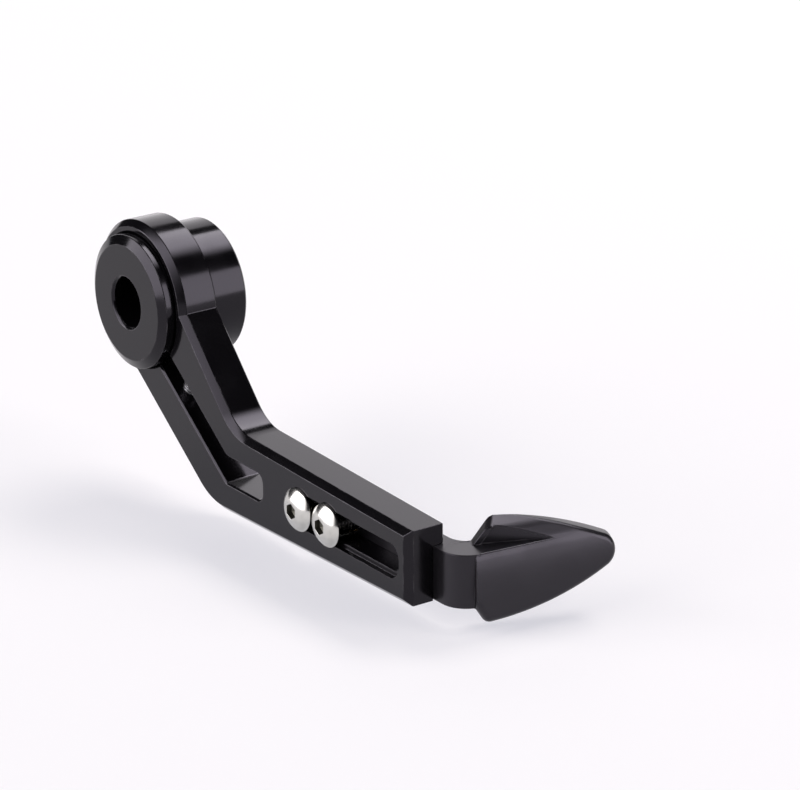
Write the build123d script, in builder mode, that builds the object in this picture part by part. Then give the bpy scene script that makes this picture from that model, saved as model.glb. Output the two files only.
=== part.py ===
"""Brake lever guard for a handlebar end: clamped arm, bar-end body and sliding moulded tip.

Millimetres, +Z up. The bar-end body is turned about the Y axis and its rear face, which seats on
the handlebar end, lies on Y = 0. The arm is cut from plate: its outline lies in XZ, its front face
looks along -Y, and the lower arm runs along +X to the tip.
"""
import os
from math import atan2, cos, degrees, radians, sin, tan

from build123d import *

# Bar-end body
body_diameter = 29.6
body_length = 21.65
body_proud_height = 3.1  # how far the body stands out of the arm's front face
face_bevel_depth = 1.1
face_bevel_width = 2.0
rear_chamfer = 0.6
bolt_hole_diameter = 6.6
head_hole_diameter = 11.0
head_hole_depth = 12.2
head_hole_chamfer = 0.5

# Arm
arm_thickness = 9.05
ring_wall = 2.75
swivel_clearance = 0.05
upper_arm_length = 42.8  # from the body's axis to the elbow, along the centreline
upper_arm_drop = 41.75  # degrees below the X axis
inner_shoulder_width = 3.8  # ring beyond the upper arm, on the lever's side
outer_shoulder_width = 2.47
upper_arm_taper = 5.05  # degrees on each edge
lower_arm_length = 68.1
elbow_half_height = 9.9
end_half_height = 8.2
lower_arm_drop_depth = 0.27  # lower arm's outline below the line of its slot
elbow_outer_radius = 15.0
elbow_inner_radius = 11.5
front_chamfer = 1.35
end_chamfer = 1.5
back_chamfer = 0.4

# Clamp window: a slot from the ring's bore to the elbow, with a foot along the lower arm
outer_leg_width = 9.83
window_width = 5.0
window_foot_height = 6.0
window_foot_reach = 15.4  # from the elbow
window_corner_radius = 2.0
window_bend_radius = 3.0
window_heel_radius = 1.0
window_chamfer = 0.4

# Pinch bolt across the clamp window, M4
pinch_setback = 6.3  # from the body's side, along the window
pinch_diameter = 4.0
pinch_head_diameter = 7.0
pinch_head_height = 4.0
pinch_sink_depth = 4.6
pinch_length = 16.0
pinch_hex = 3.0
pinch_hex_depth = 2.0
pinch_head_clearance = 0.3
pinch_hole_clearance = 0.25
thread_clearance = 0.05
pinch_tip_room = 1.0

# Tip screws, M5 button heads, and their threaded inserts
screw_pitch = 10.36
screw_diameter = 4.9
screw_length = 10.0
screw_head_diameter = 9.5
screw_head_height = 2.0
screw_head_flat = 3.8
screw_rim = 0.35
screw_dome_radius = 5.0
screw_hex = 3.0
screw_hex_depth = 1.5
insert_diameter = 7.0
insert_length = 4.8
insert_clearance = 0.02

# Adjusting slot in the lower arm, with a shallow step round it
tip_travel_length = 21.5
slot_clearance = 0.3
slot_step_width = 1.15
slot_step_depth = 1.2
slot_corner_radius = 2.2
slot_end_wall = 4.29  # between the slot and the arm's end

# Moulded tip: tongue on the arm's back, curved neck and leaf-shaped fin
tongue_height = 11.65
tongue_thickness = 5.4
tongue_top_height = 3.5  # tongue's top edge above the lower arm's centreline
tongue_inset_depth = 2.75  # how far the tongue lets into the arm's back
tongue_overlap_length = 5.8  # tongue beyond the first screw
tongue_clearance = 0.1
tongue_end_room = 0.6
neck_outer_reach = 3.0  # straight stretch past the arm's end before the bend
neck_inner_reach = -2.0
neck_outer_radius = 6.0
neck_inner_radius = 4.7
fin_front_angle = 7.0  # degrees from the Y axis
fin_back_angle = 15.0
fin_length = 36.5  # from the fin's root to the point of its leaf outline
fin_root_setback = 4.0  # from the tongue's front face to the fin's root
fin_bulge_depth = 1.2
fin_brow_angle = 49.0
fin_brow_height = 3.2
fin_bevel_angle = 28.0
fin_front_radius = 6.0
fin_top_height = 5.25  # above the tongue's top edge
fin_plate_setback = 0.5  # from the fin's root to the foot of its upper plate
fin_top_setback = 4.8  # from the fin's root to its top corner
fin_bottom_depth = 3.45  # below the tongue's bottom edge
fin_bottom_setback = 2.2
fin_nose_depth = 4.7  # nose height below the tongue's top edge
fin_nose_radius = 3.7
fin_top_bow_height = 1.7
fin_bottom_bow_height = 2.6
fin_corner_radius = 2.0
fin_edge_radius = 1.5
pocket_wall_angle = 24.3  # degrees from the Y axis
pocket_plate_width = 2.7
pocket_rim_width = 1.3
pocket_rim_depth = 0.6


def crossing(point_a, angle_a, point_b, angle_b):
    """Point where two lines meet, each given by a point and a direction in degrees."""
    run = Vector(*point_b) - Vector(*point_a)
    turn = sin(radians(angle_b - angle_a))
    reach = (run.X * sin(radians(angle_b)) - run.Y * cos(radians(angle_b))) / turn
    return point_a[0] + reach * cos(radians(angle_a)), point_a[1] + reach * sin(radians(angle_a))


def beside_axis(distance, angle):
    """Point at a distance from the body's axis, in the direction given in degrees."""
    return distance * cos(radians(angle)), distance * sin(radians(angle))


def facing(angle):
    """Horizontal direction that looks forward, turned from +X towards -Y by an angle in degrees."""
    return Vector(cos(radians(angle)), -sin(radians(angle)), 0)


def along(angle):
    """Horizontal direction of a wall that leans from +Y towards +X by an angle in degrees."""
    return Vector(sin(radians(angle)), cos(radians(angle)), 0)


# Places worked out from the sizes above; pairs are (X, Z) in the arm's outline and (X, Y) in plan
arm_front = body_proud_height - body_length
arm_back = arm_front + arm_thickness
arm_middle = arm_front + arm_thickness / 2
front_plane = Plane.XZ.offset(-arm_front)
back_plane = Plane.XZ.offset(-arm_back)
bore_radius = body_diameter / 2 + swivel_clearance
ring_radius = body_diameter / 2 + ring_wall
inner_half_width = ring_radius - inner_shoulder_width
outer_half_width = ring_radius - outer_shoulder_width

elbow = (upper_arm_length * cos(radians(upper_arm_drop)), -upper_arm_length * sin(radians(upper_arm_drop)))
arm_end = elbow[0] + lower_arm_length
lower_taper = degrees(atan2(elbow_half_height - end_half_height, lower_arm_length))
top_edge_angle = -upper_arm_drop - upper_arm_taper
outer_edge_angle = upper_arm_taper - upper_arm_drop

top_root = beside_axis(inner_half_width, top_edge_angle + 90)
outer_root = beside_axis(outer_half_width, outer_edge_angle - 90)
lower_level = elbow[1] - lower_arm_drop_depth
inner_elbow = crossing(top_root, top_edge_angle, (elbow[0], lower_level + elbow_half_height), -lower_taper)
outer_elbow = crossing(outer_root, outer_edge_angle, (elbow[0], lower_level - elbow_half_height), lower_taper)

wall_base = beside_axis(outer_half_width - outer_leg_width, outer_edge_angle - 90)
far_wall_base = beside_axis(outer_half_width - outer_leg_width - window_width, outer_edge_angle - 90)
foot_bottom = elbow[1] - window_foot_height / 2
foot_top = elbow[1] + window_foot_height / 2
foot_end = elbow[0] + window_foot_reach
window_heel = crossing(wall_base, outer_edge_angle, (0, foot_bottom), 0)
window_bend = crossing(far_wall_base, outer_edge_angle, (0, foot_top), 0)

pinch_along = beside_axis(body_diameter / 2 + pinch_setback, outer_edge_angle)
pinch_seat = beside_axis(outer_half_width - pinch_sink_depth, outer_edge_angle - 90)
pinch_outward = beside_axis(1, outer_edge_angle - 90)
pinch_plane = Plane(
    origin=(pinch_along[0] + pinch_seat[0], arm_middle, pinch_along[1] + pinch_seat[1]),
    x_dir=(0, 1, 0),
    z_dir=(pinch_outward[0], 0, pinch_outward[1]),
)

slot_width = screw_diameter + 2 * slot_clearance
slot_length = tip_travel_length + screw_pitch + slot_width
slot_middle = arm_end - slot_end_wall - slot_length / 2
first_screw = slot_middle - (slot_length - slot_width) / 2
screw_spots = [(first_screw, elbow[1]), (first_screw + screw_pitch, elbow[1])]

tongue_front = arm_back - tongue_inset_depth
tongue_back = tongue_front + tongue_thickness
tongue_back_plane = Plane.XZ.offset(-tongue_back)
tongue_top = elbow[1] + tongue_top_height
tongue_bottom = tongue_top - tongue_height
tongue_start = first_screw - tongue_overlap_length
neck_outer_start = (arm_end + neck_outer_reach, tongue_front)
neck_inner_start = (arm_end + neck_inner_reach, tongue_back)
neck_outer_end = (
    neck_outer_start[0] + neck_outer_radius * cos(radians(fin_front_angle)),
    tongue_front + neck_outer_radius * (1 - sin(radians(fin_front_angle))),
)
neck_inner_end = (
    neck_inner_start[0] + neck_inner_radius * cos(radians(fin_back_angle)),
    tongue_back + neck_inner_radius * (1 - sin(radians(fin_back_angle))),
)

fin_height = tongue_height + fin_top_height + fin_bottom_depth
fin_root = Vector(neck_outer_end[0], tongue_front + fin_root_setback, tongue_top)
leaf_plane = Plane(
    origin=fin_root + fin_height * facing(pocket_wall_angle),
    x_dir=along(fin_front_angle),
    z_dir=facing(fin_front_angle),
)
section_plane = Plane(
    origin=(*neck_outer_end, tongue_top), x_dir=-facing(fin_front_angle), z_dir=along(fin_front_angle)
)
fin_back_plane = Plane(
    origin=(*neck_inner_end, tongue_top), x_dir=along(fin_back_angle), z_dir=facing(fin_back_angle)
)
pocket_plane = Plane(
    origin=fin_back_plane.origin + pocket_plate_width * facing(fin_back_angle),
    x_dir=along(pocket_wall_angle),
    z_dir=(0, 0, 1),
)

os.makedirs("parts", exist_ok=True)

# Bar-end body: turned bar with a bevelled face and a stepped hole for the bar-end bolt
with BuildPart() as bar_end_body:
    body_radius = body_diameter / 2
    head_hole_floor = head_hole_depth - body_length
    with BuildSketch(Plane.XY):
        with BuildLine():
            Polyline(
                (bolt_hole_diameter / 2, 0),
                (body_radius - rear_chamfer, 0),
                (body_radius, -rear_chamfer),
                (body_radius, face_bevel_depth - body_length),
                (body_radius - face_bevel_width, -body_length),
                (head_hole_diameter / 2 + head_hole_chamfer, -body_length),
                (head_hole_diameter / 2, head_hole_chamfer - body_length),
                (head_hole_diameter / 2, head_hole_floor),
                (bolt_hole_diameter / 2, head_hole_floor),
                close=True,
            )
        make_face()
    revolve(axis=Axis.Y)
bar_end_body.part.label = "bar_end_body"
export_step(bar_end_body.part, "parts/bar_end_body.step")

# Arm: one outline with a ring, an elbow and a tapering lower arm, chamfered all round
with BuildPart() as arm:
    with BuildSketch(front_plane) as outline:
        with BuildLine():
            Polyline(
                top_root,
                inner_elbow,
                (arm_end, lower_level + end_half_height),
                (arm_end, lower_level - end_half_height),
                outer_elbow,
                outer_root,
                close=True,
            )
        make_face()
        fillet(outline.vertices().sort_by_distance(inner_elbow)[0], elbow_inner_radius)
        fillet(outline.vertices().sort_by_distance(outer_elbow)[0], elbow_outer_radius)
        Circle(ring_radius)
    extrude(amount=-arm_thickness)
    chamfer(arm.edges().filter_by(Axis.Z).group_by(Axis.X)[-1].sort_by(Axis.Y)[0], end_chamfer)
    flat_faces = arm.faces().filter_by(Axis.Y).sort_by(Axis.Y)
    chamfer(flat_faces[0].outer_wire().edges().filter_by(Axis.Z, reverse=True), front_chamfer)
    flat_faces = arm.faces().filter_by(Axis.Y).sort_by(Axis.Y)
    chamfer(flat_faces[-1].outer_wire().edges(), back_chamfer)

    # Ring bore and the clamp window that splits it
    with BuildSketch(front_plane) as window:
        with BuildLine():
            Polyline(
                wall_base,
                window_heel,
                (foot_end, foot_bottom),
                (foot_end, foot_top),
                window_bend,
                far_wall_base,
                close=True,
            )
        make_face()
        fillet(window.vertices().group_by(Axis.X)[-1], window_corner_radius)
        fillet(window.vertices().sort_by_distance(window_heel)[0], window_heel_radius)
        fillet(window.vertices().sort_by_distance(window_bend)[0], window_bend_radius)
        Circle(bore_radius)
    extrude(amount=-arm_thickness, mode=Mode.SUBTRACT)
    flat_faces = arm.faces().filter_by(Axis.Y).sort_by(Axis.Y)
    for flat_face in (flat_faces[0], flat_faces[-1]):
        chamfer(flat_face.inner_wires()[0].edges(), window_chamfer)

    # Stepped adjusting slot and the seat for the tongue behind it
    with BuildSketch(front_plane):
        with Locations((slot_middle, elbow[1])):
            RectangleRounded(
                slot_length + 2 * slot_step_width,
                slot_width + 2 * slot_step_width,
                slot_corner_radius + slot_step_width,
            )
    extrude(amount=-slot_step_depth, mode=Mode.SUBTRACT)
    with BuildSketch(front_plane):
        with Locations((slot_middle, elbow[1])):
            RectangleRounded(slot_length, slot_width, slot_corner_radius)
    extrude(amount=-arm_thickness, mode=Mode.SUBTRACT)
    seat_start = tongue_start - tongue_end_room
    seat_top = tongue_top + tongue_clearance
    with BuildSketch(back_plane):
        with Locations((seat_start, seat_top)):
            Rectangle(lower_arm_length, 2 * elbow_half_height, align=(Align.MIN, Align.MAX))
    extrude(amount=tongue_inset_depth, mode=Mode.SUBTRACT)

    # Counterbored hole for the pinch bolt in the outer leg, threaded hole in the other
    with BuildSketch(pinch_plane):
        Circle(pinch_head_diameter / 2 + pinch_head_clearance)
    extrude(amount=pinch_sink_depth, mode=Mode.SUBTRACT)
    with BuildSketch(pinch_plane):
        Circle(pinch_diameter / 2 + pinch_hole_clearance)
    extrude(amount=pinch_sink_depth - outer_leg_width - window_width / 2, mode=Mode.SUBTRACT)
    with BuildSketch(pinch_plane):
        Circle(pinch_diameter / 2 + thread_clearance)
    extrude(amount=-pinch_length - pinch_tip_room, mode=Mode.SUBTRACT)
arm.part.label = "arm"
export_step(arm.part, "parts/arm.step")

# Pinch bolt: socket cap screw, seated in its counterbore
with BuildPart() as pinch_bolt:
    with BuildSketch(pinch_plane):
        Circle(pinch_head_diameter / 2)
    extrude(amount=pinch_head_height)
    with BuildSketch(pinch_plane):
        Circle(pinch_diameter / 2)
    extrude(amount=-pinch_length)
    with BuildSketch(pinch_plane.offset(pinch_head_height)):
        RegularPolygon(pinch_hex / 2, 6, major_radius=False)
    extrude(amount=-pinch_hex_depth, mode=Mode.SUBTRACT)
pinch_bolt.part.label = "pinch_bolt"
export_step(pinch_bolt.part, "parts/pinch_bolt.step")

# Moulded tip: a leaf outline cut through a bevelled, bulging section, on a curved neck
with BuildSketch(leaf_plane) as leaf:
    with BuildLine():
        nose = (fin_length, -fin_nose_depth)
        bottom_corner = (fin_bottom_setback, -tongue_height - fin_bottom_depth)
        top_corner = (fin_top_setback, fin_top_height)
        Polyline(top_corner, (fin_plate_setback, 0), (0, 0), (0, -tongue_height), bottom_corner)
        SagittaArc(bottom_corner, nose, -fin_bottom_bow_height)
        SagittaArc(nose, top_corner, -fin_top_bow_height)
    make_face()
    fillet(leaf.vertices().group_by(Axis.X)[-1], fin_nose_radius)
    fillet(leaf.vertices().sort_by_distance(top_corner)[0], fin_corner_radius)
    fillet(leaf.vertices().sort_by_distance(bottom_corner)[0], fin_corner_radius)

with BuildPart() as rim_recess:
    with BuildSketch(leaf_plane):
        add(leaf.sketch_local)
        offset(amount=-pocket_rim_width)
    extrude(amount=2 * fin_height, dir=-facing(pocket_wall_angle))
    with BuildSketch(pocket_plane):
        with Locations((0, pocket_rim_depth)):
            Rectangle(4 * fin_length, fin_length, align=(Align.CENTER, Align.MAX))
    extrude(amount=fin_height, mode=Mode.INTERSECT)

with BuildPart() as tip:
    with BuildSketch(leaf_plane):
        add(leaf.sketch_local)
    extrude(amount=2 * fin_height, dir=-facing(pocket_wall_angle))
    with BuildSketch(section_plane.offset(-fin_height)) as section:
        with BuildLine():
            brow = (fin_brow_height / tan(radians(fin_brow_angle)), fin_brow_height)
            bevel_rise = (fin_height - brow[0]) * tan(radians(fin_bevel_angle))
            front_foot = (0, -fin_height)
            ThreePointArc((0, 0), (-fin_bulge_depth, -tongue_height / 2), front_foot)
            Polyline(
                front_foot,
                (fin_height, -fin_height),
                (fin_height, fin_brow_height + bevel_rise),
                brow,
                (0, 0),
            )
        make_face()
        fillet(section.vertices().sort_by_distance((0, 0))[0], fin_front_radius)
        fillet(section.vertices().sort_by_distance(brow)[0], fin_front_radius)
    extrude(amount=fin_length + 2 * fin_height, mode=Mode.INTERSECT)
    front_edges = tip.edges().filter_by(GeomType.BSPLINE).filter_by(
        lambda edge: section_plane.to_local_coords(edge.center()).X < fin_height / 2
    )
    fillet(front_edges, fin_edge_radius)
    split(bisect_by=fin_back_plane, keep=Keep.TOP)
    with BuildSketch(Plane.XY.offset(tongue_bottom)):
        with BuildLine():
            Line((tongue_start, tongue_front), neck_outer_start)
            TangentArc(neck_outer_start, neck_outer_end, tangent=(1, 0))
            Line(neck_outer_end, neck_inner_end)
            TangentArc(neck_inner_start, neck_inner_end, tangent=(1, 0))
            Polyline(neck_inner_start, (tongue_start, tongue_back), (tongue_start, tongue_front))
        make_face()
    extrude(amount=tongue_height)

    # Pocket above the neck's level, with a thin plate behind it and a rim round the plate
    with BuildSketch(pocket_plane):
        Rectangle(4 * fin_length, fin_length, align=(Align.CENTER, Align.MAX))
    extrude(amount=fin_height, mode=Mode.SUBTRACT)
    add(rim_recess.part, mode=Mode.SUBTRACT)

    # Stepped holes for the screws and their inserts
    with BuildSketch(tongue_back_plane):
        with Locations(*screw_spots):
            Circle(insert_diameter / 2 + insert_clearance)
    extrude(amount=insert_length, mode=Mode.SUBTRACT)
    with BuildSketch(tongue_back_plane):
        with Locations(*screw_spots):
            Circle(screw_diameter / 2 + slot_clearance)
    extrude(amount=tongue_thickness, mode=Mode.SUBTRACT)
tip.part.label = "tip"
export_step(tip.part, "parts/tip.step")

# Tip screws: two alike, button heads on the arm's front face
with BuildPart() as screw:
    shank_radius = screw_diameter / 2
    with BuildSketch(Plane.XZ):
        with BuildLine():
            dome_start = (screw_head_diameter / 2, screw_rim)
            dome_end = (screw_head_flat / 2, screw_head_height)
            Polyline(
                dome_end,
                (0, screw_head_height),
                (0, -screw_length),
                (shank_radius, -screw_length),
                (shank_radius, 0),
                (screw_head_diameter / 2, 0),
                dome_start,
            )
            RadiusArc(dome_start, dome_end, -screw_dome_radius)
        make_face()
    revolve(axis=Axis.Z)
    with BuildSketch(Plane.XY.offset(screw_head_height)):
        RegularPolygon(screw_hex / 2, 6, major_radius=False)
    extrude(amount=-screw_hex_depth, mode=Mode.SUBTRACT)

with BuildPart() as tip_screws:
    with Locations(front_plane):
        with Locations(*screw_spots):
            add(screw.part)
tip_screws.part.label = "tip_screws"
export_step(tip_screws.part, "parts/tip_screws.step")

# Threaded inserts: two alike, flush with the tongue's back
with BuildPart() as insert:
    with BuildSketch(Plane.XY):
        Circle(insert_diameter / 2)
        Circle(screw_diameter / 2 + thread_clearance, mode=Mode.SUBTRACT)
    extrude(amount=insert_length)

with BuildPart() as threaded_inserts:
    with Locations(tongue_back_plane):
        with Locations(*screw_spots):
            add(insert.part)
threaded_inserts.part.label = "threaded_inserts"
export_step(threaded_inserts.part, "parts/threaded_inserts.step")
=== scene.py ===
# %% [markdown]
# # A brake lever guard
# The guard is a cranked aluminium arm that clamps round a turned bar-end body, with a moulded
# tip that slides in a slot at the arm's far end. Its solids come packed in one frame, in metres
# with +Z up, and each one knows the body that it moves with. This lesson dresses them for the
# camera: first the view and the studio, then the finishes, then finer meshes.

# %% Load the solids
from math import cos, pi, radians, sin

import bmesh
import bpy
from mathutils import Matrix, Vector


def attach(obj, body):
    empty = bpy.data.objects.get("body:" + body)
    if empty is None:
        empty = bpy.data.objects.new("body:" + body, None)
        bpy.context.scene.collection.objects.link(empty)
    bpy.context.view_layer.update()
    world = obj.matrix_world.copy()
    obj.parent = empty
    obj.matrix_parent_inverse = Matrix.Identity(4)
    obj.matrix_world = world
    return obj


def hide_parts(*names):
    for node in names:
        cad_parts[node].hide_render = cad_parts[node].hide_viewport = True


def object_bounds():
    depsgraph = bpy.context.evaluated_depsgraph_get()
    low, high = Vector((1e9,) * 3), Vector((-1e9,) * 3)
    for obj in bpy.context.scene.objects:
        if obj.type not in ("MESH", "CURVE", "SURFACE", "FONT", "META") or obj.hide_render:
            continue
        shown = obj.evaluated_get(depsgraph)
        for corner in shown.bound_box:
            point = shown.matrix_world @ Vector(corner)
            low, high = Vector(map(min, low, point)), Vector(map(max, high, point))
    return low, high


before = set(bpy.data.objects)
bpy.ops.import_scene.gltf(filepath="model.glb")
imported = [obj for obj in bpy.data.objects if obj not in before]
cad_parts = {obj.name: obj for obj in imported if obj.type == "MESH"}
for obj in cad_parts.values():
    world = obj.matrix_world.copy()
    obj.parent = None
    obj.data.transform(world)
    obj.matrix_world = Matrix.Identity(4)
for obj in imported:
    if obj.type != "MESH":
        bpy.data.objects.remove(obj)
solid_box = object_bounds()
mm = 0.001
print("solids:", sorted(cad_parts), "box:", solid_box)

# %% [markdown]
# ## The view
# The photograph is taken from the guard's front right and a little above, with a long lens, so
# parallel edges stay nearly parallel. A camera's turn could be set by aiming it at a point, but
# three plain turns are easier to read: roll about its own axis, tilt down, then swing round.

# %% Camera
camera = bpy.data.objects.new("camera", bpy.data.cameras.new("camera"))
camera.data.sensor_width = 36
camera.data.lens = 187.45
camera_spot = (0.72489, -0.46014, 0.29944)
swing, tilt, roll = radians(54.848), radians(20.80), radians(-0.338)
camera.matrix_world = (
    Matrix.Translation(camera_spot)
    @ Matrix.Rotation(swing, 4, "Z")
    @ Matrix.Rotation(pi / 2 - tilt, 4, "X")
    @ Matrix.Rotation(roll, 4, "Z")
)
bpy.context.scene.collection.objects.link(camera)
bpy.context.scene.camera = camera
bpy.context.scene.view_settings.view_transform = "Standard"
print("camera at", tuple(round(x, 3) for x in camera.matrix_world.translation))

# %% [markdown]
# ## Nodes and objects in few words
# Every finish below is a small tree of shader nodes. A helper that adds one node, sets it and
# links it in a single call keeps those trees as short as a recipe. Another one turns a finished
# bmesh into an object that stays at the origin, with its place in its mesh.

# %% Node and object helpers
def put(tree, kind, inputs=None, **settings):
    """Add a node; each input takes a plain value or the output of another node."""
    node = tree.nodes.new(kind)
    for name, value in settings.items():
        setattr(node, name, value)
    for name, value in (inputs or {}).items():
        if isinstance(value, bpy.types.NodeSocket):
            tree.links.new(value, node.inputs[name])
        else:
            node.inputs[name].default_value = value
    return node


def calc(tree, operation, *values):
    """One step of arithmetic on values or outputs."""
    return put(tree, "ShaderNodeMath", dict(enumerate(values)), operation=operation).outputs[0]


def ramp(tree, value, start, end, low=0.0, high=1.0):
    """Ease a value from low to high as it goes from start to end."""
    inputs = {"Value": value, "From Min": start, "From Max": end, "To Min": low, "To Max": high}
    eased = put(tree, "ShaderNodeMapRange", inputs, interpolation_type="SMOOTHSTEP")
    return eased.outputs["Result"]


def blank_material(name):
    """A material with its output node and nothing else."""
    material = bpy.data.materials.new(name)
    material.use_nodes = True
    material.node_tree.nodes.clear()
    return material, material.node_tree, put(material.node_tree, "ShaderNodeOutputMaterial")


def object_from(bm, name, *finishes):
    """Turn a bmesh into an object in the scene, with its finishes."""
    mesh = bpy.data.meshes.new(name)
    bm.to_mesh(mesh)
    bm.free()
    for finish in finishes:
        mesh.materials.append(finish)
    made = bpy.data.objects.new(name, mesh)
    bpy.context.scene.collection.objects.link(made)
    return made


print("node and object helpers ready")

# %% [markdown]
# ## The studio
# A black glossy part is lit by what it mirrors. Lamps without a size would leave it black, so the
# light comes from large panels: one overhead and behind, one broad one in front, two weaker ones
# at the right and a pale sheet at the back left. Between them the room is dark, and those gaps
# draw the black bands on the round parts. Each panel's glow fades towards its edges, as that of a
# studio softbox does.

# %% Light panels
panel_white = (1.0, 0.965, 1.0, 1)


def light_panel(name, middle, width, height, facing, brightness, fades):
    """A flat glowing panel; fades are the shares of it that dim at left, right, bottom and top."""
    bm = bmesh.new()
    bm.loops.layers.uv.new("panel")
    bmesh.ops.create_grid(bm, x_segments=1, y_segments=1, size=0.5, calc_uvs=True)
    bmesh.ops.scale(bm, verts=bm.verts, vec=(width, height, 1))
    bmesh.ops.transform(bm, verts=bm.verts, matrix=Matrix.Translation(middle) @ facing)

    material, tree, output = blank_material(name)
    on_panel = put(tree, "ShaderNodeUVMap", uv_map="panel").outputs["UV"]
    across = put(tree, "ShaderNodeSeparateXYZ", {"Vector": on_panel}).outputs
    left, right, bottom, top = fades
    glow = brightness
    for axis, near, far in (("X", left, right), ("Y", bottom, top)):
        if near:
            glow = calc(tree, "MULTIPLY", glow, ramp(tree, across[axis], 0, near))
        if far:
            dimmed = calc(tree, "SUBTRACT", 1.0, ramp(tree, across[axis], 1 - far, 1))
            glow = calc(tree, "MULTIPLY", glow, dimmed)
    lit = put(tree, "ShaderNodeEmission", {"Color": panel_white, "Strength": glow})
    tree.links.new(lit.outputs[0], output.inputs["Surface"])

    panel = object_from(bm, name, material)
    panel.visible_camera = False


def upright(bearing):
    """Turn of an upright panel that stands at a bearing, in degrees from -Y towards +X."""
    return Matrix.Rotation(radians(bearing), 4, "Z") @ Matrix.Rotation(pi / 2, 4, "X")


def place(bearing, distance, height):
    """Point at a bearing and distance from the guard, at a height."""
    return (distance * sin(radians(bearing)), -distance * cos(radians(bearing)), height)


light_panel(
    "panel_overhead", (-0.04, 0.87, 1.2), width=1.14, height=0.62, facing=Matrix.Identity(4),
    brightness=8.2, fades=(0.02, 0.42, 0.05, 0.05))
light_panel(
    "panel_front", (-0.535, -1.5, 0.925), width=2.97, height=1.95, facing=upright(0),
    brightness=5.2, fades=(0.02, 0.36, 0.0, 0.15))
light_panel(
    "panel_right", place(121, 1.4, 0.47), width=1.3, height=1.0, facing=upright(121),
    brightness=4.9, fades=(0.15, 0.15, 0.0, 0.1))
light_panel(
    "panel_right_high", place(115, 1.4, 1.42), width=0.48, height=0.9, facing=upright(115),
    brightness=4.2, fades=(0.2, 0.25, 0.1, 0.25))
light_panel(
    "panel_back_left", place(-122, 1.4, 0.55), width=1.5, height=1.2, facing=upright(-122),
    brightness=1.58, fades=(0.1, 0.1, 0.0, 0.04))
print("light panels placed")

# %% [markdown]
# ## Floor and background
# The photograph's ground is white, and it carries soft grey shadows. Light alone gives a floor that
# is too grey or shadows that are too dark, so part of the white is a glow. Only rays from the
# camera and mirrored and refracted rays meet it, so it shows in the picture and in the guard's
# gloss, and it sheds no light. Round the guard stands a dark room, which the camera looks through
# to a white world.

# %% Floor, room and world
floor_height = solid_box[0][2] - 3 * mm
bm = bmesh.new()
bmesh.ops.create_circle(bm, cap_ends=True, segments=64, radius=8)
bmesh.ops.translate(bm, verts=bm.verts, vec=(0, 0, floor_height))
white_floor, tree, output = blank_material("white_floor")
paths = put(tree, "ShaderNodeLightPath").outputs
seen = calc(tree, "MAXIMUM", paths["Is Camera Ray"], paths["Is Glossy Ray"])
seen = calc(tree, "MAXIMUM", seen, paths["Is Transmission Ray"])
matt = put(tree, "ShaderNodeBsdfDiffuse", {"Color": (0.44, 0.42, 0.38, 1)})
lift = put(tree, "ShaderNodeEmission", {"Color": (0.46, 0.47, 0.535, 1), "Strength": seen})
both = put(tree, "ShaderNodeAddShader", {0: matt.outputs[0], 1: lift.outputs[0]})
tree.links.new(both.outputs[0], output.inputs["Surface"])
floor = object_from(bm, "floor", white_floor)

bm = bmesh.new()
bmesh.ops.create_cube(bm, size=11)
bmesh.ops.recalc_face_normals(bm, faces=bm.faces)
dark_room, tree, output = blank_material("dark_room")
dim = put(tree, "ShaderNodeEmission", {"Color": (0.03, 0.03, 0.033, 1)})
tree.links.new(dim.outputs[0], output.inputs["Surface"])
room = object_from(bm, "room", dark_room)
room.visible_camera = False

world = bpy.data.worlds.new("studio")
world.use_nodes = True
world.node_tree.nodes.clear()
pale = put(world.node_tree, "ShaderNodeBackground", {"Color": (1, 1, 1, 1)})
put(world.node_tree, "ShaderNodeOutputWorld", {"Surface": pale.outputs[0]})
bpy.context.scene.world = world
print("floor at", round(floor_height, 5), "m")

# %% [markdown]
# ## Effects that several finishes share
# Four things recur on this guard: fine grain from blasting or moulding, lines left by a cutting
# tool, dull patches where hands have held it, and edges rubbed paler than the faces. Each one is a
# node group with its own inputs, so that a finish only says how coarse or how strong it wants it.

# %% Shared effects
def effect(name, inputs, output):
    """A node group with float inputs, a Vector input for place, and one output."""
    group = bpy.data.node_groups.new(name, "ShaderNodeTree")
    group.interface.new_socket("Vector", in_out="INPUT", socket_type="NodeSocketVector")
    for socket, value in inputs.items():
        made = group.interface.new_socket(socket, in_out="INPUT", socket_type="NodeSocketFloat")
        made.default_value = value
    group.interface.new_socket(output, in_out="OUTPUT", socket_type="NodeSocketFloat")
    result = put(group, "NodeGroupOutput").inputs[output]
    return group, put(group, "NodeGroupInput").outputs, result


def noise(group, given, **inputs):
    """Noise in an effect, with features of the size in metres that the effect is given."""
    scale = calc(group, "DIVIDE", 1.0, given["Size"])
    inputs = {"Vector": given["Vector"], "Scale": scale, **inputs}
    return put(group, "ShaderNodeTexNoise", inputs).outputs[0]


def use(tree, group, **inputs):
    """Place an effect in a material with its own values, and give its output."""
    return put(tree, "ShaderNodeGroup", inputs, node_tree=group).outputs[0]


fine_grain, given, result = effect("fine_grain", {"Size": 0.0003}, "Height")
fine_grain.links.new(noise(fine_grain, given, Detail=3.0, Roughness=0.6), result)

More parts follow.
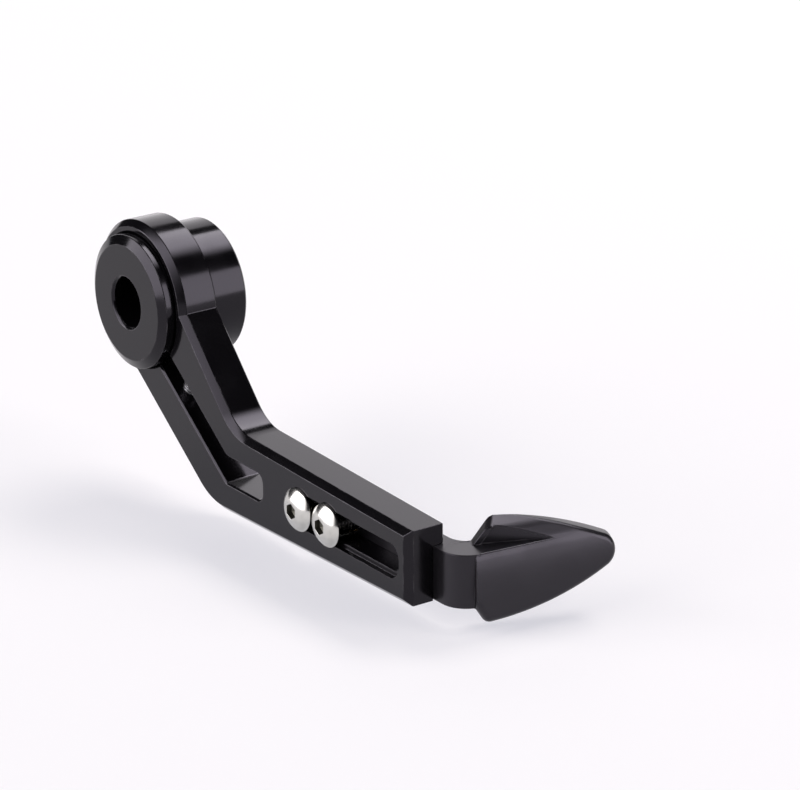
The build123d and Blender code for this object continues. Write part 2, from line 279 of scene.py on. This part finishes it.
tool_lines, given, result = effect("tool_lines", {"Distance": 0.0, "Pitch": 0.0002}, "Height")
count = calc(tool_lines, "DIVIDE", given["Distance"], given["Pitch"])
line = put(
    tool_lines, "ShaderNodeTexNoise", {"W": count, "Scale": 1.0, "Detail": 2.0},
    noise_dimensions="1D")
drift = put(
    tool_lines, "ShaderNodeTexNoise", {"Vector": given["Vector"], "Scale": 160.0, "Detail": 2.0})
faint = ramp(tool_lines, drift.outputs[0], 0.35, 0.65, low=0.35)
tool_lines.links.new(calc(tool_lines, "MULTIPLY", line.outputs[0], faint), result)

handled, given, result = effect("handled", {"Size": 0.012}, "Dullness")
patches = noise(handled, given, Detail=5.0, Distortion=0.6)
handled.links.new(ramp(handled, patches, 0.40, 0.68), result)

rubbed_edge, given, result = effect("rubbed_edge", {"Edge": 0.0, "Size": 0.004}, "Wear")
broken = noise(rubbed_edge, given, Detail=4.0, Roughness=0.65)
share = ramp(rubbed_edge, broken, 0.42, 0.66)
rubbed_edge.links.new(calc(rubbed_edge, "MULTIPLY", share, given["Edge"]), result)
print("effects:", [group.name for group in bpy.data.node_groups])

# %% [markdown]
# ## Finishes
# The arm and the bar-end body are black anodised aluminium. The dyed oxide on the metal is a clear
# hard skin, so it shines as lacquer does rather than as bare metal: a black base with an ordinary
# gloss. The arm is milled from plate and the body is turned, so their tool lines run differently:
# straight on the arm, and round the bore on the body.

# %% Black anodised aluminium
cool_sheen = (0.92, 0.87, 1.0, 1)


def mixed(tree, share, first, second):
    """Colour between two, by a share from 0 to 1."""
    colours = {0: share, 6: first, 7: second}
    return put(tree, "ShaderNodeMix", colours, data_type="RGBA").outputs[2]


def with_part(tree, base, mask, part):
    """A base value, and a part of a mask on top of it."""
    return calc(tree, "ADD", base, calc(tree, "MULTIPLY", mask, part))


def edge_attribute(tree):
    """Mark that the mesh carries on its narrow edge faces."""
    return put(tree, "ShaderNodeAttribute", attribute_name="edge_break").outputs["Fac"]


def raised(tree, height, distance, normal=None):
    """Bump of a height in metres, on top of another bump if one is given."""
    inputs = {"Height": height, "Distance": distance, "Strength": 1.0}
    if normal is not None:
        inputs["Normal"] = normal
    return put(tree, "ShaderNodeBump", inputs).outputs["Normal"]


def from_axis(tree, spot, axis, others):
    """Distance from an axis plus the way along it, which grows all over a turned piece."""
    axes = put(tree, "ShaderNodeSeparateXYZ", {"Vector": spot}).outputs
    inputs = {axis: 0.0, **{other: axes[other] for other in others}}
    flat = put(tree, "ShaderNodeCombineXYZ", inputs).outputs[0]
    away = put(tree, "ShaderNodeVectorMath", {0: flat}, operation="LENGTH").outputs["Value"]
    return calc(tree, "ADD", away, axes[axis])


def anodised(name, turned):
    """Black anodised finish; turned sets lines round the Y axis, otherwise they run straight."""
    material, tree, output = blank_material(name)
    spot = put(tree, "ShaderNodeTexCoord").outputs["Object"]
    if turned:
        distance = from_axis(tree, spot, "Y", "XZ")
    else:
        axes = put(tree, "ShaderNodeSeparateXYZ", {"Vector": spot}).outputs
        distance = with_part(tree, axes["X"], axes["Z"], 0.4)
    lines = use(tree, tool_lines, Vector=spot, Distance=distance, Pitch=0.00018)
    grain = use(tree, fine_grain, Vector=spot, Size=0.00012)
    dull = use(tree, handled, Vector=spot, Size=0.014)
    wear = use(tree, rubbed_edge, Vector=spot, Edge=edge_attribute(tree), Size=0.003)
    gloss = with_part(tree, with_part(tree, 0.11, dull, 0.05), lines, 0.03)
    normal = raised(tree, grain, 0.0000002, raised(tree, lines, 0.0000004))
    shader = put(tree, "ShaderNodeBsdfPrincipled", {
        "Base Color": mixed(tree, wear, (0.0022, 0.0020, 0.0025, 1), (0.030, 0.029, 0.031, 1)),
        "Roughness": gloss, "IOR": 1.34, "Specular Tint": cool_sheen, "Normal": normal})
    tree.links.new(shader.outputs[0], output.inputs["Surface"])
    return material


anodised_arm = anodised("anodised_arm", turned=False)
anodised_body = anodised("anodised_body", turned=True)
print("finishes:", anodised_arm.name, anodised_body.name)

# %% [markdown]
# The tip is moulded in black nylon. Its skin copies the mould's fine texture, so highlights on it
# are wide and soft. The screws are polished stainless steel. Their sockets are rougher from the
# punch, and their colour is painted dark as the shade inside the recess. The pinch bolt is
# zinc-plated steel, and the inserts are turned brass. For the metals the base colour is the
# mirror's tint.

# %% Nylon, steel and brass
def moulded(name):
    """Black satin moulded nylon."""
    material, tree, output = blank_material(name)
    spot = put(tree, "ShaderNodeTexCoord").outputs["Object"]
    skin = use(tree, fine_grain, Vector=spot, Size=0.00025)
    dull = use(tree, handled, Vector=spot, Size=0.010)
    wear = use(tree, rubbed_edge, Vector=spot, Edge=edge_attribute(tree), Size=0.004)
    shader = put(tree, "ShaderNodeBsdfPrincipled", {
        "Base Color": mixed(tree, wear, (0.0058, 0.0054, 0.0064, 1), (0.022, 0.021, 0.023, 1)),
        "Roughness": with_part(tree, 0.29, dull, 0.07), "IOR": 1.43,
        "Specular Tint": cool_sheen, "Normal": raised(tree, skin, 0.000002)})
    tree.links.new(shader.outputs[0], output.inputs["Surface"])
    return material


def turned_metal(name, tint, dull_tint, roughness, pitch, depth):
    """Bare turned metal, with lines round the axis that its mesh keeps from the lathe."""
    material, tree, output = blank_material(name)
    spot = put(tree, "ShaderNodeAttribute", attribute_name="lathe_place").outputs["Vector"]
    distance = from_axis(tree, spot, "Z", "XY")
    lines = use(tree, tool_lines, Vector=spot, Distance=distance, Pitch=pitch)
    dull = use(tree, handled, Vector=spot, Size=0.004)
    shader = put(tree, "ShaderNodeBsdfPrincipled", {
        "Base Color": mixed(tree, dull, tint, dull_tint), "Metallic": 1.0,
        "Roughness": with_part(tree, roughness, dull, 0.08),
        "Normal": raised(tree, lines, depth)})
    tree.links.new(shader.outputs[0], output.inputs["Surface"])
    return material


moulded_nylon = moulded("moulded_nylon")
stainless = turned_metal(
    "polished_stainless", tint=(0.60, 0.595, 0.565, 1), dull_tint=(0.52, 0.515, 0.485, 1),
    roughness=0.17, pitch=0.00009, depth=0.0000006)
# Socket faces: a dark tint as painted shade inside the recess; only the rougher punched surface is
# real.
socket_painted_shade_steel = turned_metal(
    "socket_painted_shade_steel", tint=(0.115, 0.112, 0.095, 1), dull_tint=(0.075, 0.072, 0.060, 1),
    roughness=0.40, pitch=0.00012, depth=0.000001)
zinc_steel = turned_metal(
    "zinc_steel", tint=(0.62, 0.62, 0.63, 1), dull_tint=(0.50, 0.50, 0.52, 1),
    roughness=0.24, pitch=0.00012, depth=0.000001)
brass = turned_metal(
    "turned_brass", tint=(0.70, 0.50, 0.22, 1), dull_tint=(0.55, 0.38, 0.16, 1),
    roughness=0.24, pitch=0.00010, depth=0.000001)
metals = (stainless, socket_painted_shade_steel, zinc_steel, brass)
print("finishes:", moulded_nylon.name, [metal.name for metal in metals])

# %% [markdown]
# ## Finishing a mesh
# Sharp corners never shine, while every real corner has a tiny flat or round that catches light.
# Breaking the edges with the bevel operator gives each corner that narrow strip, and a mark on the
# strip tells the finish where to rub the colour. Weighted normals then keep wide faces flat, so
# that the shading bends only on the strips.

# %% Mesh helpers
def break_edges(bm, width, segments=2, sharper_than=25):
    """Bevel every edge sharper than an angle in degrees, and mark the new narrow faces."""
    mark = bm.faces.layers.float.new("edge_break")
    limit = radians(sharper_than)
    edges = [edge for edge in bm.edges if edge.is_manifold and edge.calc_face_angle() > limit]
    made = bmesh.ops.bevel(
        bm, geom=edges, offset=width * mm, offset_type="OFFSET", segments=segments, profile=0.5,
        affect="EDGES", clamp_overlap=False, loop_slide=True, material=-1)
    for face in made["faces"]:
        face[mark] = 1.0
    print("edges broken:", len(edges))


def set_in_guard(bm, name, finishes, body, slot, *nodes):
    """Make the finished object, smooth but for its sharp edges, set it on its body and hide the
    solids that it stands in for.
    """
    piece = object_from(bm, name, *finishes)
    piece.data.shade_smooth()
    piece.data.set_sharp_from_angle(angle=radians(40))
    weights = piece.modifiers.new("weighted_normals", "WEIGHTED_NORMAL")
    weights.keep_sharp = True
    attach(piece, body)
    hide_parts(*nodes)
    print(name, "faces:", len(piece.data.polygons))


def weld(bm, distance):
    """Merge points that lie closer than a distance in millimetres."""
    bmesh.ops.remove_doubles(bm, verts=bm.verts, dist=distance * mm)


def copy_of_solid(node, flat_angle):
    """A welded copy of a solid's mesh, with its flat faces made whole again."""
    bm = bmesh.new()
    bm.from_mesh(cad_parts[node].data)
    weld(bm, 0.001)
    bmesh.ops.dissolve_limit(
        bm, angle_limit=radians(flat_angle), verts=bm.verts, edges=bm.edges)
    return bm


print("mesh helpers ready")

# %% [markdown]
# ## Arm
# The arm is milled from one plate, and its solid already has the true outline, the clamp window,
# the stepped slot and the chamfers. Modelling that again would only risk a mismatch, so the mesh is
# copied, welded and given broken edges about a tenth of a millimetre wide.

# %% Arm
bm = copy_of_solid("arm", flat_angle=0.5)
break_edges(bm, 0.12)
set_in_guard(bm, "arm_plate", [anodised_arm], "arm", "anodised_aluminium", "arm")

# %% [markdown]
# ## Tip
# The tip is moulded, so its corners are rounder than a milled part's: a mould cannot fill a sharp
# corner. Its solid has the leaf-shaped fin, the pocket and the neck, and the copy gets wider,
# rounder edges than the arm's. The two insert holes just cut into the tongue's top face, so a thin
# web closes each slit: a flat block, with its top back edge rounded as the tongue's is.

# %% Tip
screw_places = {"inner": 61.13, "outer": 71.49}
screw_height = -28.5
web_size = (1.8, 4.9, 0.185)
web_y, web_z = -9.305, -25.0975


def tongue_web(bm, along):
    """Close the slit over an insert hole, at a place along the tongue."""
    web = bmesh.ops.create_cube(bm, size=1)["verts"]
    bmesh.ops.scale(bm, verts=web, vec=Vector(web_size) * mm)
    bmesh.ops.translate(bm, verts=web, vec=Vector((along, web_y, web_z)) * mm)
    top_back = [vert for vert in web if vert.co.y > web_y * mm and vert.co.z > web_z * mm]
    bmesh.ops.bevel(
        bm, geom=[bm.edges.get(top_back)], offset=0.15 * mm, segments=3, profile=0.5,
        affect="EDGES", material=-1)


bm = copy_of_solid("tip", flat_angle=0.05)
break_edges(bm, 0.22, segments=3, sharper_than=30)
for along in screw_places.values():
    tongue_web(bm, along)
set_in_guard(bm, "leaf_tip", [moulded_nylon], "tip", "moulded_polyamide", "tip")

# %% [markdown]
# ## Turned pieces
# The bar-end body, the screws, the pinch bolt and the inserts are all turned on a lathe. In Blender
# the lathe is the spin operator: a chain of edges, drawn as radius and height, goes once round the
# axis. Each mesh also keeps its place on the lathe, so that tool lines run round its own axis after
# it is set in the guard.

# %% Lathe
hair = 0.0001


def chain(bm, *points, closed=False):
    """Join (radius, height) points, in millimetres, into a profile in the XZ plane."""
    verts = [bm.verts.new((radius * mm, 0, height * mm)) for radius, height in points]
    for pair in zip(verts, verts[1:]):
        bm.edges.new(pair)
    if closed:
        bm.edges.new((verts[-1], verts[0]))
    return verts


def turn(bm, steps):
    """Spin the profile once round Z, and close its seam and poles."""
    bmesh.ops.spin(
        bm, geom=bm.verts[:] + bm.edges[:], cent=(0, 0, 0), axis=(0, 0, 1), angle=2 * pi,
        steps=steps, use_merge=True)
    weld(bm, hair)
    bmesh.ops.recalc_face_normals(bm, faces=bm.faces)


def set_on_axis(bm, origin, outward):
    """Keep each point's place on the lathe, then stand the axis on an origin, in millimetres."""
    kept = bm.verts.layers.float_vector.new("lathe_place")
    for vert in bm.verts:
        vert[kept] = vert.co
    lean = Vector((0, 0, 1)).rotation_difference(Vector(outward)).to_matrix().to_4x4()
    spot = Matrix.Translation(Vector(origin) * mm)
    bmesh.ops.transform(bm, matrix=spot @ lean, verts=bm.verts)


print("lathe ready")

# %% [markdown]
# ### Bar-end body
# The body is the turned plug in the arm's ring. Its face has a broad bevel and a stepped hole, wide
# in front and narrow behind. It could be a cylinder with two holes cut in it, but cuts leave long
# thin faces, and one profile on the lathe makes all of it cleanly.

# %% Bar-end body
narrow_hole, wide_hole, outside = 3.3, 5.5, 14.8
hole_step, front = 9.45, 21.65
bm = bmesh.new()
chain(
    bm, (narrow_hole, 0), (14.2, 0), (outside, 0.6), (outside, 20.55), (12.8, front), (6.0, front),
    (wide_hole, 21.15), (wide_hole, hole_step), (narrow_hole, hole_step), closed=True)
turn(bm, 180)
break_edges(bm, 0.15, segments=3)
set_on_axis(bm, (0, 0, 0), (0, -1, 0))
set_in_guard(
    bm, "bar_end_turning", [anodised_body], "bar_end", "anodised_aluminium", "bar_end_body")

# %% [markdown]
# ### Tip screws
# Two button-head screws clamp the tip. The dome is part of a ball, so one point is spun over the
# ball's centre to draw that arc before the whole profile goes on the lathe. The hexagon socket is
# a six-sided ring with as many points as the dome's rim, which lets the two be bridged cleanly, and
# the thread is a small wedge spun down the shank as it turns.

# %% Socket and thread
fastener_steps = 96


def hexagon_socket(bm, across, depth, top):
    """Close the open rim at a height with a flat, and sink a socket in it whose faces take the
    second finish, the painted socket shade.
    """
    rim = [edge for edge in bm.edges if edge.is_boundary]
    corner_radius = across / 2 / cos(pi / 6) * mm
    ring = bmesh.ops.create_circle(bm, segments=6, radius=corner_radius)["verts"]
    bmesh.ops.translate(bm, verts=ring, vec=(0, 0, top * mm))
    sides = {edge for vert in ring for edge in vert.link_edges}
    cut = bmesh.ops.subdivide_edges(bm, edges=list(sides), cuts=fastener_steps // 6 - 1)
    fresh = {part for part in cut["geom"] if isinstance(part, bmesh.types.BMEdge)}
    sides = list(fresh | {edge for edge in sides if edge.is_valid})
    bmesh.ops.bridge_loops(bm, edges=rim + sides)
    punch_point = 0.25 * across
    for drop, narrow in ((depth, 1.0), (punch_point, 0.0)):
        made = bmesh.ops.extrude_edge_only(bm, edges=sides)["geom"]
        for part in made:
            if isinstance(part, bmesh.types.BMFace):
                part.material_index = 1
        corners = [part for part in made if isinstance(part, bmesh.types.BMVert)]
        sides = [part for part in made if isinstance(part, bmesh.types.BMEdge)]
        bmesh.ops.scale(bm, verts=corners, vec=(narrow, narrow, 1))
        bmesh.ops.translate(bm, verts=corners, vec=(0, 0, -drop * mm))
    weld(bm, hair)
    bmesh.ops.recalc_face_normals(bm, faces=bm.faces)


def thread(bm, root, crest, pitch, top, length, steps=32):
    """Add a helical ridge down a shank, from a wedge that sinks as it goes round."""
    foot, flank, land = root - 0.08, 0.46 * pitch, 0.08 * pitch
    wedge = chain(
        bm, (foot, top - flank), (crest, top - land), (crest, top + land), (foot, top + flank))
    face = bm.faces.new(wedge)
    turns = length / pitch
    bmesh.ops.spin(
        bm, geom=[face] + face.edges[:] + wedge, cent=(0, 0, 0), axis=(0, 0, 1),
        dvec=(0, 0, -pitch / steps * mm), angle=2 * pi * turns, steps=round(steps * turns))
    bmesh.ops.holes_fill(bm, edges=[edge for edge in bm.edges if edge.is_boundary])
    bmesh.ops.recalc_face_normals(bm, faces=bm.faces)


print("socket and thread ready")

# %% Tip screws
point, root, shank, head = 1.6, 2.02, 2.45, 4.75
end, seat, rim_height, head_top = -10, 0.02, 0.35, 2.0
ball_centre, dome_sweep = (0.96 * mm, 0, -2.911 * mm), radians(38.46)
for which, along in screw_places.items():
    bm = bmesh.new()
    verts = chain(
        bm, (0, end), (point, end), (root, -9.5), (root, -1.1), (shank, -0.6), (shank, seat),
        (head, seat), (head, rim_height))
    bmesh.ops.spin(
        bm, geom=[verts[-1]], cent=ball_centre, axis=(0, 1, 0), angle=-dome_sweep, steps=9)
    weld(bm, hair)
    turn(bm, fastener_steps)
    hexagon_socket(bm, across=3.0, depth=1.3, top=head_top)
    break_edges(bm, 0.07, sharper_than=28)
    thread(bm, root, crest=2.44, pitch=0.8, top=-1.5, length=7.6)
    set_on_axis(bm, (along, -18.55, screw_height), (0, -1, 0))
    set_in_guard(
        bm, f"tip_screw_{which}", [stainless, socket_painted_shade_steel], "tip", "stainless_steel", "tip_screws")

# %% [markdown]
# ### Pinch bolt
# A socket cap screw crosses the clamp window and draws the ring tight. Its head is sunk in the
# arm's lower edge, and its side is knurled. Grooves could be cut one by one, but the lathe has
# already set lines of points round the head, so every other line is drawn in a little.

# %% Pinch bolt
point, root, shank, head = 1.3, 1.62, 2.0, 3.5
end, head_top = -16, 4.0
bm = bmesh.new()
chain(
    bm, (0, end), (point, end), (root, -15.6), (root, -3.2), (shank, -2.8), (shank, 0), (head, 0),
    (head, 3.6), (3.1, head_top), (2.2, head_top))
turn(bm, fastener_steps)
one_step = 2 * pi / fastener_steps
side = [vert for vert in bm.verts if vert.co.xy.length > (head - 0.05) * mm]
valleys = [
    vert for vert in side if round(vert.co.xy.angle_signed(Vector((1, 0))) / one_step) % 2]
bmesh.ops.scale(bm, verts=valleys, vec=(0.965, 0.965, 1))
hexagon_socket(bm, across=3.0, depth=1.8, top=head_top)
break_edges(bm, 0.07, sharper_than=40)
thread(bm, root, crest=1.99, pitch=0.7, top=-3.6, length=11.6)
slope = radians(-126.7)
set_on_axis(bm, (10.655, -14.025, -21.013), (cos(slope), 0, sin(slope)))
set_in_guard(bm, "clamp_bolt", [zinc_steel, socket_painted_shade_steel], "arm", "bolt_steel", "pinch_bolt")

# %% [markdown]
# ### Inserts
# Nylon holds a thread badly, so brass inserts are pressed into the tongue from behind. They show as
# two rings on the tip's back, so a rectangle that goes round the lathe is enough. They are a little
# narrower than their holes, to stay below the webs.

# %% Inserts
inside, outside, length = 2.5, 3.3, 4.8
for which, along in screw_places.items():
    bm = bmesh.new()
    chain(bm, (inside, 0), (outside, 0), (outside, length), (inside, length), closed=True)
    turn(bm, 72)
    break_edges(bm, 0.18)
    set_on_axis(bm, (along, -11.65, screw_height), (0, 1, 0))
    set_in_guard(bm, f"insert_{which}", [brass], "tip", "insert_brass", "threaded_inserts")
